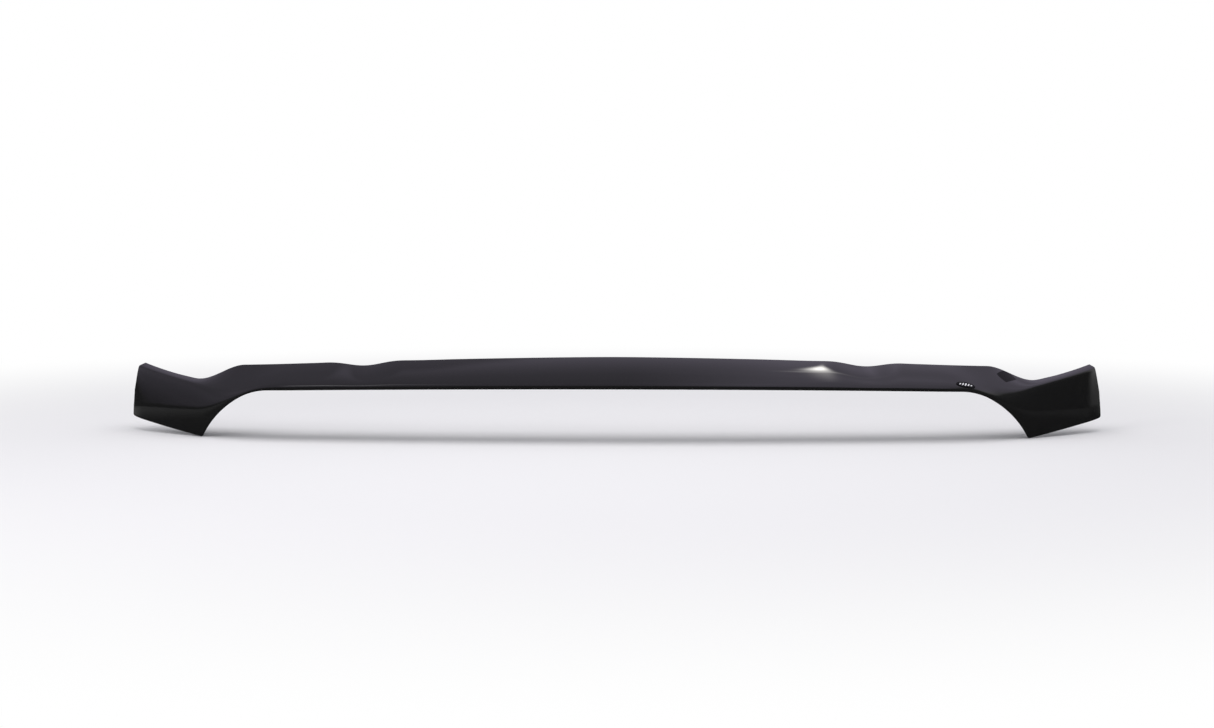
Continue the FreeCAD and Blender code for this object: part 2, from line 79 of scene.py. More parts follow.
# The rear edge: its dome, the dips, the valleys and the tips
CROWN_HEIGHT, SHOULDER_HEIGHT, CROWN_SWELL = 48.7, 28.8, 1.6
DIP_WIDTH, DIP_DEPTH = 124.0, 7.0
VALLEY_HEIGHT, TIP_HEIGHT, TIP_SWELL = 0.5, 27.0, 1.25
# The flap, and the crease that takes the place of its soft bend in the wings
FLAP_DEPTH, WING_FLAP_DEPTH = 98.0, 68.0
FLAP_RISE = 17.3
CREASE_REACH = HALF_WIDTH - 205.0
CREASE_DROP, CREASE_RUN, CREASE_SLOPE, CREASE_WIDTH = 7.5, 50.0, 0.19, 14.0
MID_PULL, FACE_PULL = 0.60, 0.40
FACE_LEAN = 3.5
# The nose, and the hem that tucks back under it
NOSE_HEIGHT, WING_NOSE_DROP = 6.0, 38.0
TUCK_DEPTH, WING_TUCK_DEPTH = 13.5, 7.5
HEM_DEPTH = 10.0
# The trimmed outline below: drops of its corners, the sides and the roundings
ARCH_DROP, HAUNCH_DROP, CORNER_DROP, LAMP_DROP = 7.0, 20.0, 94.0, 69.0
SIDE_LEAN, SIDE_BULGE = 16.0, 2.5
INNER_ROUND, LOWER_ROUND, TIP_ROUND = 3.0, 6.0, 9.0
TAPE_WIDTH = 12.7


def blend(value, start, end):
    """Smooth step from 0 at start to 1 at end."""
    part = np.clip((value - start) / (end - start), 0.0, 1.0)
    return part * part * (3 - 2 * part)


def mix(first, second, share):
    """Between two values, by a share from 0 to 1."""
    return first + (second - first) * share


def crown(reach):
    """Height of the rear edge's flat dome."""
    return CROWN_HEIGHT - (CROWN_HEIGHT - SHOULDER_HEIGHT) * (reach / SHOULDER_REACH) ** CROWN_SWELL


def section_rule(reach):
    """What fixes the section at each reach from the middle, as the mould's drawing gives it."""
    wing = blend(reach, ARCH_REACH, CORNER_REACH + TAPE_WIDTH)
    past_sweep = np.maximum(reach - SWEEP_START, 0) / (HALF_WIDTH - SWEEP_START)
    tuck_at_edge = TUCK_DEPTH * (NOSE_HEIGHT / (NOSE_HEIGHT + HEM_DEPTH)) ** 2
    line = BOW_DEPTH * (reach / HALF_WIDTH) ** 2 + SWEEP_DEPTH * past_sweep ** 2 - tuck_at_edge
    past_roll = np.maximum(reach - HALF_WIDTH + EDGE_ROLL_WIDTH, 0) / EDGE_ROLL_WIDTH
    front = line + EDGE_ROLL * past_roll ** 2
    arch = ARCH_DROP * (reach / ARCH_REACH) ** 2
    nose = NOSE_HEIGHT - arch - WING_NOSE_DROP * wing
    hem = -HEM_DEPTH - arch - (CORNER_DROP - ARCH_DROP) * wing
    tuck = mix(TUCK_DEPTH, WING_TUCK_DEPTH, wing)
    part = (reach - DIP_REACH) / (DIP_WIDTH / 2)
    dip = np.where(np.abs(part) < 1, DIP_DEPTH * np.cos(part * math.pi / 2) ** 2, 0.0)
    drop = crown(VALLEY_REACH) - VALLEY_HEIGHT
    rise = TIP_HEIGHT - (crown(HALF_WIDTH) - drop)
    past_valley = np.maximum(reach - VALLEY_REACH, 0) / (HALF_WIDTH - VALLEY_REACH)
    top = (crown(reach) - dip - drop * blend(reach, SHOULDER_REACH, VALLEY_REACH)
           + rise * past_valley ** TIP_SWELL)
    depth = mix(FLAP_DEPTH, WING_FLAP_DEPTH, blend(reach, SHOULDER_REACH, HALF_WIDTH))
    past_start = np.maximum(reach - CREASE_REACH, 0)
    climb = np.where(past_start < CREASE_RUN, past_start ** 2 / (2 * CREASE_RUN),
                     past_start - CREASE_RUN / 2)
    crease = mix(top + dip / 2 - FLAP_RISE, CREASE_SLOPE * climb - CREASE_DROP,
                 blend(reach, ARCH_REACH - CREASE_RUN / 2, CREASE_REACH))
    sharp = blend(reach, ARCH_REACH, VALLEY_REACH)
    return np.array([front, nose, hem, tuck, line + depth, top, crease, sharp, wing])


def template_places():
    """Places of the mould's templates, closer together where the shape changes faster."""
    stops = [(0.0, 5), (DIP_REACH - 0.65 * DIP_WIDTH, 7), (DIP_REACH + 0.65 * DIP_WIDTH, 6),
             (mix(ARCH_REACH, SHOULDER_REACH, 0.7), 5), (mix(SHOULDER_REACH, VALLEY_REACH, 0.4), 4),
             (VALLEY_REACH, 5), (HALF_WIDTH - EDGE_ROLL_WIDTH, 3), (HALF_WIDTH + EDGE_ROLL_WIDTH / 2, 1)]
    right = [mix(start, end, step / count)
             for (start, count), (end, _) in zip(stops, stops[1:]) for step in range(count)]
    right.append(stops[-1][0])
    return np.array([-reach for reach in reversed(right[1:])] + right)


places = template_places()
rails = section_rule(np.abs(places))


def bend_rates(knots, rows):
    """Second derivatives of the smooth curves through each row of values at the knots."""
    gaps = np.diff(knots)
    system = np.eye(len(knots))
    right_side = np.zeros_like(rows)
    for i in range(1, len(knots) - 1):
        system[i, i - 1:i + 2] = gaps[i - 1], 2 * (gaps[i - 1] + gaps[i]), gaps[i]
        right_side[:, i] = 6 * ((rows[:, i + 1] - rows[:, i]) / gaps[i]
                                - (rows[:, i] - rows[:, i - 1]) / gaps[i - 1])
    return np.linalg.solve(system, right_side.T).T


rail_bends = bend_rates(places, rails)


def section_at(x):
    """The section's values at any x, smoothly drawn through the templates."""
    index = np.clip(np.searchsorted(places, x) - 1, 0, len(places) - 2)
    gap = places[index + 1] - places[index]
    far = (x - places[index]) / gap
    near = 1 - far
    return (near * rails[:, index] + far * rails[:, index + 1]
            + ((near ** 3 - near) * rail_bends[:, index]
               + (far ** 3 - far) * rail_bends[:, index + 1]) * gap ** 2 / 6)


def skin(x, t):
    """Outer face: t is -1 at the bottom of the hem, 0 at the nose and 1 at the rear edge."""
    front, nose, hem, tuck, rear, top, crease, sharp, wing = section_at(x)
    start, end = np.array([front, nose]), np.array([rear, top])
    corner = np.array([front + FACE_LEAN * wing, crease])
    # Control points of the soft bend of the middle, and of the tight crease of the wings
    low, high = start + (corner - start) * MID_PULL, end + (corner - end) * MID_PULL
    soft = [(start + low) / 2, (start + 2 * low + high) / 4, (start + 3 * low + 3 * high + end) / 8,
            (low + 2 * high + end) / 4, (high + end) / 2]
    rise, back = corner - start, end - corner
    up, away = rise / np.hypot(*rise), back / np.hypot(*back)
    half = CREASE_WIDTH / 2
    tight = [start + rise * FACE_PULL, corner - up * half, corner + (away - up) * half / 2,
             corner + away * half, end - back / 2]
    rising, bending, crest, leaving, ending = [mix(s, h, sharp) for s, h in zip(soft, tight)]
    # Two cubic curves that meet at the crest
    lower = t < 0.5
    q = np.clip(np.where(lower, 2 * t, 2 * t - 1), 0, 1)
    r = 1 - q
    p0, p1, p2, p3 = [np.where(lower, below, above) for below, above in
                      ((start, crest), (rising, leaving), (bending, ending), (crest, end))]
    y, z = p0 * r ** 3 + p1 * 3 * q * r ** 2 + p2 * 3 * q ** 2 * r + p3 * q ** 3
    down = np.maximum(-t, 0)
    return np.stack([x + 0 * t, y + tuck * down ** 2, z + (hem - nose) * down], axis=-1)


def skin_normal(x, t):
    """Unit normal of the outer face, pointing out of the shield."""
    along = skin(x + 0.5, t) - skin(x - 0.5, t)
    across = skin(x, np.minimum(t + 0.01, 1)) - skin(x, np.maximum(t - 0.01, -1))
    normal = np.cross(along, across)
    return normal / np.linalg.norm(normal, axis=-1, keepdims=True)


def tangent_arc(start, direction, end, steps=60):
    """Points of the arc that leaves start along a direction and reaches end, and its last direction."""
    chord = end - start
    normal = np.array([-direction[1], direction[0]])
    radius = chord @ chord / (2 * (chord @ normal))
    centre = start + normal * radius
    first = math.atan2(*(start - centre)[::-1])
    turn = math.remainder(math.atan2(*(end - centre)[::-1]) - first, 2 * math.pi)
    angles = first + turn * np.linspace(0, 1, steps + 1)
    unit = chord / np.linalg.norm(chord)
    points = centre + abs(radius) * np.stack([np.cos(angles), np.sin(angles)], axis=-1)
    return points, unit * (2 * unit @ direction) - direction


def rounded(points, radius):
    """Chain of points with its middle corner rounded, given as three points."""
    before, corner, after = (np.array(p) for p in points)
    back = (before - corner) / np.linalg.norm(before - corner)
    ahead = (after - corner) / np.linalg.norm(after - corner)
    half = math.acos(back @ ahead) / 2
    start = corner + back * radius / math.tan(half)
    end = corner + ahead * radius / math.tan(half)
    arc, _ = tangent_arc(start, -back, end, 16)
    return arc


# The side's arc, through the outer lower corner and the tip
side_span = math.hypot(SIDE_LEAN, LAMP_DROP + TIP_HEIGHT)
side_radius = side_span ** 2 / (8 * SIDE_BULGE) + SIDE_BULGE / 2
lamp_corner = np.array([HALF_WIDTH, -LAMP_DROP])
tip_corner = np.array([HALF_WIDTH - SIDE_LEAN, TIP_HEIGHT])
side_direction = (tip_corner - lamp_corner) / side_span
side_centre = ((lamp_corner + tip_corner) / 2
               + np.array([-side_direction[1], side_direction[0]]) * (side_radius - SIDE_BULGE))


def side_x(z):
    """Reach of the outer side at a height."""
    return side_centre[0] + np.sqrt(side_radius ** 2 - (z - side_centre[1]) ** 2)


arch_radius = (ARCH_REACH ** 2 + ARCH_DROP ** 2) / (2 * ARCH_DROP)
arch_x = np.linspace(0, ARCH_REACH, 120, endpoint=False)
arch = np.stack([arch_x, np.sqrt(arch_radius ** 2 - arch_x ** 2) - arch_radius], axis=-1)
arch_direction = np.array([arch_radius - ARCH_DROP, -ARCH_REACH]) / arch_radius
haunch_arc, haunch_direction = tangent_arc(np.array([ARCH_REACH, -ARCH_DROP]), arch_direction,
                                           np.array([HAUNCH_REACH, -HAUNCH_DROP]))
corner_arc, _ = tangent_arc(haunch_arc[-1], haunch_direction, np.array([CORNER_REACH, -CORNER_DROP]))
# Points a short way up and down the side, and along the tip, between which corners are rounded
above_lower, below_tip = ([side_x(z), z] for z in (8 - LAMP_DROP, TIP_HEIGHT - 14))
beside_tip = tip_corner - [60, 0]
CORNER_GAP, SIDE_POINTS = 0.05, 60
inner_corner = rounded([corner_arc[-4], corner_arc[-1], lamp_corner], INNER_ROUND)
lower_corner = rounded([corner_arc[-1], lamp_corner, above_lower], LOWER_ROUND)
upper_corner = rounded([below_tip, tip_corner, beside_tip], TIP_ROUND)
corner_keep = corner_arc[corner_arc[:, 1] > inner_corner[0, 1] + CORNER_GAP]
side_z = np.linspace(lower_corner[-1, 1] + 1, upper_corner[0, 1] - 1, SIDE_POINTS)
side = np.stack([side_x(side_z), side_z], axis=-1)
outline = np.concatenate([arch, haunch_arc, corner_keep[1:], inner_corner, lower_corner, side,
                          upper_corner, [beside_tip]])


def moved_in(chain, distance):
    """The chain moved towards the inside of the shield, in the front view."""
    ahead = np.gradient(chain, axis=0)
    ahead /= np.linalg.norm(ahead, axis=1, keepdims=True)
    return chain + distance * np.stack([-ahead[:, 1], ahead[:, 0]], axis=-1)


def lean(spread, z):
    """How far a column of the mesh leans in with the outer side, from none at the valley."""
    share = np.clip((spread - VALLEY_REACH) / (HALF_WIDTH - VALLEY_REACH), 0, 1) ** 2
    return (side_x(z) - HALF_WIDTH) * share


def lengths_along(points):
    """Length from the first point to each point of a chain, or of a row of chains."""
    steps = np.linalg.norm(np.diff(points, axis=-2), axis=-1)
    return np.concatenate([np.zeros((*steps.shape[:-1], 1)), np.cumsum(steps, axis=-1)], axis=-1)


# The mesh's columns, as places and the number of columns from each to the next. They stand
# closest round the inner corner of the outline, and come together at the tip.
COLUMN_STOPS = [(0, 118), (ARCH_REACH - 14, 44), (CORNER_REACH - 28, 16), (CORNER_REACH - 6, 24),
                (CORNER_REACH + 6, 30), (HALF_WIDTH - 25, 10)]
FAN_WIDTH, FAN_COLUMNS = 8.0, 17
MESH_ROWS = 44
fine = np.linspace(-1, 1, 401)


def grid_of_skin():
    """Columns and rows of points on the outer face that end exactly at the trimmed outline."""
    edge = moved_in(outline, EDGE_ROUND)
    spread = edge[:, 0].copy()
    for _ in range(6):
        spread = edge[:, 0] - lean(spread, edge[:, 1])
    # Half-way up the side, the outline's lower part ends and its upper part begins
    turn = len(outline) - 1 - len(upper_corner) - len(side) // 2
    low_spread, low_z = np.maximum.accumulate(spread[:turn]), edge[:turn, 1]
    high_spread, high_z = spread[:turn:-1], edge[:turn:-1, 1]
    stops = COLUMN_STOPS + [(spread.max() - FAN_WIDTH, 0)]
    runs = [np.linspace(start, end, count, endpoint=False)
            for (start, count), (end, _) in zip(stops, stops[1:])]
    fan = spread.max() - FAN_WIDTH * np.cos(np.linspace(0, math.pi / 2, FAN_COLUMNS))
    right = np.concatenate(runs + [fan])
    columns = np.concatenate([-right[:0:-1], right])
    reach = np.abs(columns)

    def column_points(t):
        """Places and points of the leaning columns at each t."""
        x = np.broadcast_to(columns[:, None], t.shape)
        for _ in range(4):
            z = skin(x, t)[..., 2]
            x = np.sign(columns)[:, None] * (reach[:, None] + lean(reach[:, None], z))
        return x, skin(x, t)

    _, points = column_points(np.broadcast_to(fine, (len(columns), len(fine))))
    lengths = lengths_along(points)
    wanted = np.empty((len(columns), MESH_ROWS + 1))
    for i in range(len(columns)):
        low = np.interp(np.interp(reach[i], low_spread, low_z), points[i, :, 2], lengths[i])
        high = lengths[i, -1] - EDGE_ROUND
        if reach[i] > high_spread[0]:
            tip = np.interp(reach[i], high_spread, high_z)
            high = min(high, np.interp(tip, points[i, :, 2], lengths[i]))
        wanted[i] = np.interp(np.linspace(low, high, MESH_ROWS + 1), lengths[i], fine)
    x, points = column_points(wanted)
    return x, wanted, points


def mesh_object(name, points, faces, smooth=True):
    """New object in the scene from points in millimetres."""
    mesh = bpy.data.meshes.new(name)
    mesh.from_pydata([tuple(p) for p in np.asarray(points) * MM], [], [tuple(f) for f in faces])
    mesh.update()
    mesh.polygons.foreach_set("use_smooth", [smooth] * len(mesh.polygons))
    made = bpy.data.objects.new(name, mesh)
    bpy.context.scene.collection.objects.link(made)
    return made


def quads(index):
    """Faces of a grid of point numbers."""
    corners = [index[:-1, :-1], index[1:, :-1], index[1:, 1:], index[:-1, 1:]]
    return np.stack(corners, axis=-1).reshape(-1, 4)


grid_x, grid_t, grid_points = grid_of_skin()
number = np.arange(grid_x.size).reshape(grid_x.shape)
border = np.concatenate([number[:-1, 0], number[-1, :-1], number[:0:-1, -1], number[0, :0:-1]])
outer_face, out_of_face = grid_points.reshape(-1, 3), skin_normal(grid_x, grid_t).reshape(-1, 3)
ahead = np.roll(outer_face[border], -1, axis=0) - np.roll(outer_face[border], 1, axis=0)
out_of_edge = np.zeros_like(outer_face)
out_of_edge[border] = np.cross(ahead, out_of_face[border])
out_of_edge[border] /= np.linalg.norm(out_of_edge[border], axis=1, keepdims=True)
shield = mesh_object("shield_skin", outer_face, quads(number))
for name, directions in (("outwards", out_of_face), ("sideways", out_of_edge)):
    made = shield.data.attributes.new(name, "FLOAT_VECTOR", "POINT")
    made.data.foreach_set("vector", directions.ravel())


def add(tree, kind, inputs=None, **settings):
    """New node with its settings, and its inputs set or linked by name or number."""
    made = tree.nodes.new(kind)
    for key, value in settings.items():
        setattr(made, key, value)
    for key, value in (inputs or {}).items():
        if isinstance(value, bpy.types.NodeSocket):
            tree.links.new(value, made.inputs[key])
        else:
            made.inputs[key].default_value = value
    return made


def calc(tree, operation, *values):
    """Result of a new math node on one, two or three values."""
    return add(tree, "ShaderNodeMath", dict(enumerate(values)), operation=operation).outputs[0]


def mixed_value(tree, share, first, second):
    """Result of a new node that mixes two values by a share."""
    return add(tree, "ShaderNodeMix", {"Factor": share, 2: first, 3: second}).outputs[0]


def scaled(tree, vector, factor):
    """Result of a new node that multiplies a vector by a factor."""
    return add(tree, "ShaderNodeVectorMath", {0: vector, "Scale": factor},
               operation="SCALE").outputs["Vector"]


def kept_vector(tree, name):
    """The vector that each point keeps under a name."""
    return add(tree, "GeometryNodeInputNamedAttribute", {"Name": name},
               data_type="FLOAT_VECTOR").outputs["Attribute"]


def new_tree(name, sizes):
    """Geometry Nodes tree with a geometry input, named size inputs and a material input."""
    made = bpy.data.node_groups.new(name, "GeometryNodeTree")
    made.interface.new_socket("Geometry", in_out="INPUT", socket_type="NodeSocketGeometry")
    for size in sizes:
        made.interface.new_socket(size, in_out="INPUT", socket_type="NodeSocketFloat")
    made.interface.new_socket("Material", in_out="INPUT", socket_type="NodeSocketMaterial")
    made.interface.new_socket("Geometry", in_out="OUTPUT", socket_type="NodeSocketGeometry")
    return made, made.nodes.new("NodeGroupInput").outputs


def end_tree(tree, geometry, material):
    """Ends a tree in real geometry that has the given material."""
    real = add(tree, "GeometryNodeRealizeInstances", {"Geometry": geometry})
    dressed = add(tree, "GeometryNodeSetMaterial", {"Geometry": real.outputs["Geometry"],
                                                    "Material": material})
    add(tree, "NodeGroupOutput", {0: dressed.outputs["Geometry"]})


def grow(piece, tree, values):
    """Runs a tree on a piece once and keeps its result as the piece's plain mesh."""
    modifier = piece.modifiers.new(tree.name, "NODES")
    modifier.node_group = tree
    for socket in tree.interface.items_tree:
        if socket.in_out == "INPUT" and socket.name in values:
            modifier[socket.identifier] = values[socket.name]
    made = bpy.data.meshes.new_from_object(piece.evaluated_get(bpy.context.evaluated_depsgraph_get()))
    piece.modifiers.clear()
    made.name = piece.name
    made.materials.pop(index=0)  # the empty slot that the plain mesh came with
    piece.data = made


# The sheet gets its thickness and its rounded edge: the border is drawn out ring by ring, over a
# quarter round, straight through the sheet and under a second quarter round to the inner face
ROUND_STEPS, MERGE_DISTANCE = 4, 0.002
tree, given = new_tree("sheet_with_round_edge", ["Thickness", "Edge Round"])
outwards, sideways = kept_vector(tree, "outwards"), kept_vector(tree, "sideways")
deep = calc(tree, "MULTIPLY", given["Thickness"], -1.0)
inner = add(tree, "GeometryNodeSetPosition", {"Geometry": given["Geometry"],
                                              "Offset": scaled(tree, outwards, deep)})
inner = add(tree, "GeometryNodeFlipFaces", {"Mesh": inner.outputs["Geometry"]})
here = add(tree, "GeometryNodeInputPosition")
marked = add(tree, "GeometryNodeStoreNamedAttribute", {
    "Geometry": given["Geometry"], "Name": "start", "Value": here.outputs["Position"]},
    data_type="FLOAT_VECTOR", domain="POINT")
beside = add(tree, "GeometryNodeInputMeshEdgeNeighbors")
free = add(tree, "FunctionNodeCompare", {2: beside.outputs["Face Count"], 3: 1},
           data_type="INT", operation="EQUAL")
first = add(tree, "GeometryNodeRepeatInput")
last = add(tree, "GeometryNodeRepeatOutput")
first.pair_with_output(last)
last.repeat_items.new("BOOLEAN", "Edge")
first.inputs["Iterations"].default_value = 2 * ROUND_STEPS + 1
tree.links.new(marked.outputs["Geometry"], first.inputs["Geometry"])
tree.links.new(free.outputs["Result"], first.inputs["Edge"])
step = first.outputs["Iteration"]
under = calc(tree, "GREATER_THAN", step, ROUND_STEPS - 0.5)
ring = calc(tree, "MULTIPLY_ADD", under, -(ROUND_STEPS + 1), step)
ring = calc(tree, "ADD", ring, 1.0)
angle = calc(tree, "MULTIPLY", ring, math.pi / 2 / ROUND_STEPS)
sine, cosine = calc(tree, "SINE", angle), calc(tree, "COSINE", angle)
reach = mixed_value(tree, under, sine, cosine)
reach = calc(tree, "MULTIPLY", reach, given["Edge Round"])
over = calc(tree, "MULTIPLY_ADD", cosine, -1.0, 1.0)
over = calc(tree, "MULTIPLY", over, given["Edge Round"])
below = calc(tree, "ADD", sine, -1.0)
below = calc(tree, "MULTIPLY_ADD", below, given["Edge Round"], given["Thickness"])
depth = mixed_value(tree, under, over, below)
depth = calc(tree, "MULTIPLY", depth, -1.0)
beyond, down = scaled(tree, sideways, reach), scaled(tree, outwards, depth)
place = kept_vector(tree, "start")
for offset in (beyond, down):
    place = add(tree, "ShaderNodeVectorMath", {0: place, 1: offset}, operation="ADD").outputs["Vector"]
drawn = add(tree, "GeometryNodeExtrudeMesh", {"Mesh": first.outputs["Geometry"],
                                              "Selection": first.outputs["Edge"], "Offset Scale": 0.0},
            mode="EDGES")
drawn_place = add(tree, "GeometryNodeSetPosition", {
    "Geometry": drawn.outputs["Mesh"], "Selection": drawn.outputs["Top"], "Position": place})
tree.links.new(drawn_place.outputs["Geometry"], last.inputs["Geometry"])
tree.links.new(drawn.outputs["Top"], last.inputs["Edge"])
both = add(tree, "GeometryNodeJoinGeometry", {0: last.outputs["Geometry"]})
tree.links.new(inner.outputs["Mesh"], both.inputs[0])
closed = add(tree, "GeometryNodeMergeByDistance", {"Geometry": both.outputs[0],
                                                   "Distance": MERGE_DISTANCE * MM})
end_tree(tree, closed.outputs["Geometry"], given["Material"])


def colour(code):
    """Linear colour from an sRGB hex code."""
    parts = [int(code[i:i + 2], 16) / 255 for i in (1, 3, 5)]
    return [p / 12.92 if p <= 0.04045 else ((p + 0.055) / 1.055) ** 2.4 for p in parts] + [1.0]


def new_material(name):
    """New material, and its empty node tree."""
    material = bpy.data.materials.new(name)
    material.use_nodes = True
    material.node_tree.nodes.clear()
    return material, material.node_tree


def noise(tree, place, size, detail):
    """Value of a new noise texture with patches of a size in millimetres."""
    return add(tree, "ShaderNodeTexNoise", {
        "Vector": place, "Scale": 1 / (size * MM), "Detail": detail}).outputs["Fac"]


def relief(tree, texture, strength, height):
    """Normal of a new bump node that raises a texture to a height in millimetres."""
    return add(tree, "ShaderNodeBump", {
        "Height": texture, "Strength": strength, "Distance": height * MM}).outputs["Normal"]


# Smoked acrylic (PMMA), cast, heat-formed and polished: near black, with a wet gloss, a haze of
# handling in it, and the slow waviness that the forming leaves in long reflections
WAVE_LENGTH, WAVE_HEIGHT, HAZE_PATCH = 120.0, 0.6, 30.0
smoked_acrylic, shading = new_material("smoked_acrylic")
place = add(shading, "ShaderNodeTexCoord").outputs["Object"]
swell = relief(shading, noise(shading, place, WAVE_LENGTH, 1.0), 0.25, WAVE_HEIGHT)
film = noise(shading, place, HAZE_PATCH, 4.0)
haze = add(shading, "ShaderNodeMapRange", {
    "Value": film, "From Min": 0.35, "From Max": 0.7, "To Min": 0.035, "To Max": 0.06})
shader = add(shading, "ShaderNodeBsdfPrincipled", {
    "Base Color": colour("#191919"), "Roughness": haze.outputs["Result"], "IOR": 1.49, "Normal": swell})
add(shading, "ShaderNodeOutputMaterial", {"Surface": shader.outputs["BSDF"]})
grow(shield, tree, {"Thickness": WALL * MM, "Edge Round": EDGE_ROUND * MM, "Material": smoked_acrylic})
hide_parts("shield")
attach(shield, "root")


# Foam tape
# Strips of closed-cell acrylic foam tape, 12.7 mm wide and 1.1 mm thick, pressed onto the inner
# face 3 mm inside the trimmed outline. They bond the shield in its place.

TAPE_MARGIN, TAPE_GAP, TAPE_THICKNESS, SEAT_CLEARANCE = 3.0, 4.0, 1.1, 0.1
SIDE_TAPE_TOP = 2.0
TAPE_STEP, TAPE_ROWS = 8.0, 7


def t_at(x, z):
    """Where the outer face's section at x reaches a height, found by halving."""
    low, high = np.full(np.shape(x), -1.0), np.full(np.shape(x), 1.0)
    for _ in range(28):
        middle = (low + high) / 2
        under = skin(x, middle)[..., 2] < z
        low, high = np.where(under, middle, low), np.where(under, high, middle)
    return low


def inner_spot(x, z):
    """Point and outward normal of the inner face that shows at x and z in the front view."""
    outer_x, outer_z = x.copy(), z.copy()
    for _ in range(6):
        t = t_at(outer_x, outer_z)
        outward = skin_normal(outer_x, t)
        point = skin(outer_x, t) - WALL * outward
        outer_x, outer_z = outer_x + x - point[..., 0], outer_z + z - point[..., 2]
    return point, outward


def strip(chain, start, end):
    """Points of a strip laid inside a part of the outline, between two distances along it."""
    stops = np.linspace(start, end, 2 + int((end - start) / TAPE_STEP))
    line = np.stack([np.interp(stops, lengths_along(chain), chain[:, k]) for k in (0, 1)], axis=-1)
    insets = TAPE_MARGIN + TAPE_WIDTH * np.linspace(0, 1, TAPE_ROWS)
    lines = np.stack([moved_in(line, inset) for inset in insets], axis=1)
    point, outward = inner_spot(lines[..., 0], lines[..., 1])
    return point - SEAT_CLEARANCE * outward


arch_chain = np.concatenate([arch, haunch_arc[:1]])
corner_chain = np.concatenate([haunch_arc, corner_arc[1:]])
lamp_chain = np.linspace(corner_arc[-1], lamp_corner, 40)
side_z = np.linspace(-LAMP_DROP, TIP_HEIGHT, SIDE_POINTS)
side_chain = np.stack([side_x(side_z), side_z], axis=-1)
arch_length, corner_length, lamp_length = (
    lengths_along(chain)[-1] for chain in (arch_chain, corner_chain, lamp_chain))
clear_end = TAPE_MARGIN + TAPE_WIDTH + TAPE_GAP
strips = [strip(arch_chain, TAPE_GAP / 2, arch_length - TAPE_GAP / 2),
          strip(corner_chain, TAPE_GAP / 2, corner_length - clear_end),
          strip(lamp_chain, TAPE_MARGIN, lamp_length - 2 * TAPE_MARGIN),
          strip(side_chain, clear_end, LAMP_DROP + SIDE_TAPE_TOP)]
points, faces, count = [], [], 0
for right_strip in strips:
    for hand in (1, -1):
        index = count + np.arange(right_strip[..., 0].size).reshape(right_strip.shape[:2])
        points.append((right_strip * [hand, 1, 1]).reshape(-1, 3))
        faces.append(quads(index)[:, ::-hand])
        count += index.size
foam_tape = mesh_object("foam_tape", np.concatenate(points), np.concatenate(faces), smooth=False)

# The strips are raised to their thickness, and their backs closed
TAPE_MERGE = 0.01
tree, given = new_tree("tape_body", ["Thickness"])
raised = add(tree, "GeometryNodeExtrudeMesh", {
    "Mesh": given["Geometry"], "Offset Scale": given["Thickness"], "Individual": False}, mode="FACES")
back = add(tree, "GeometryNodeFlipFaces", {"Mesh": given["Geometry"]})
both = add(tree, "GeometryNodeJoinGeometry", {0: raised.outputs["Mesh"]})
tree.links.new(back.outputs["Mesh"], both.inputs[0])
closed = add(tree, "GeometryNodeMergeByDistance", {"Geometry": both.outputs[0],
                                                   "Distance": TAPE_MERGE * MM})
end_tree(tree, closed.outputs["Geometry"], given["Material"])

# Closed-cell acrylic foam: charcoal grey and matt, with cells of about 0.3 mm. They are drawn at
# twice their size, so that they show as fine pits.
CELL_SIZE, PIT_DEPTH, TONE_PATCH = 0.6, 0.2, 20.0
acrylic_foam, shading = new_material("acrylic_foam")
place = add(shading, "ShaderNodeTexCoord").outputs["Object"]
cells = add(shading, "ShaderNodeTexVoronoi", {"Vector": place, "Scale": 1 / (CELL_SIZE * MM)})
pits = relief(shading, cells.outputs["Distance"], 0.4, PIT_DEPTH)
tone = noise(shading, place, TONE_PATCH, 3.0)
shade = add(shading, "ShaderNodeValToRGB", {"Fac": tone})
shade.color_ramp.elements[0].color = colour("#2e2e30")
shade.color_ramp.elements[1].color = colour("#3b3b3e")
shader = add(shading, "ShaderNodeBsdfPrincipled", {
    "Base Color": shade.outputs["Color"], "Roughness": 0.85, "IOR": 1.48, "Normal": pits})
add(shading, "ShaderNodeOutputMaterial", {"Surface": shader.outputs["BSDF"]})
grow(foam_tape, tree, {"Thickness": TAPE_THICKNESS * MM, "Material": acrylic_foam})
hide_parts(*[name for name in frame["nodes"] if "tape" in name])
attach(foam_tape, "root")


# Bumpers
# Eight clear vinyl bumpers, 12.7 mm across and 3 mm high, stuck under the free rear edge. Their
# flat ends carry it, so each one stands where the record's rest mount says.

BUMPER_BASE, BUMPER_END, BUMPER_HEIGHT = 12.7, 9.5, 3.0
BUMPER_SQUARENESS = 7.0
ROUND_POINTS, PROFILE_POINTS = 49, 25
rests = [mount for mount in frame["record"]["mounts"] if mount["name"].startswith("rear_rest")]
ends = np.array([mount["pos_m"] for mount in rests])
axes = np.array([mount["axis"] for mount in rests])
bumpers = mesh_object("clear_bumpers", ends / MM - axes * BUMPER_HEIGHT, [])
bumpers.data.attributes.new("axis", "FLOAT_VECTOR", "POINT").data.foreach_set("vector", axes.ravel())

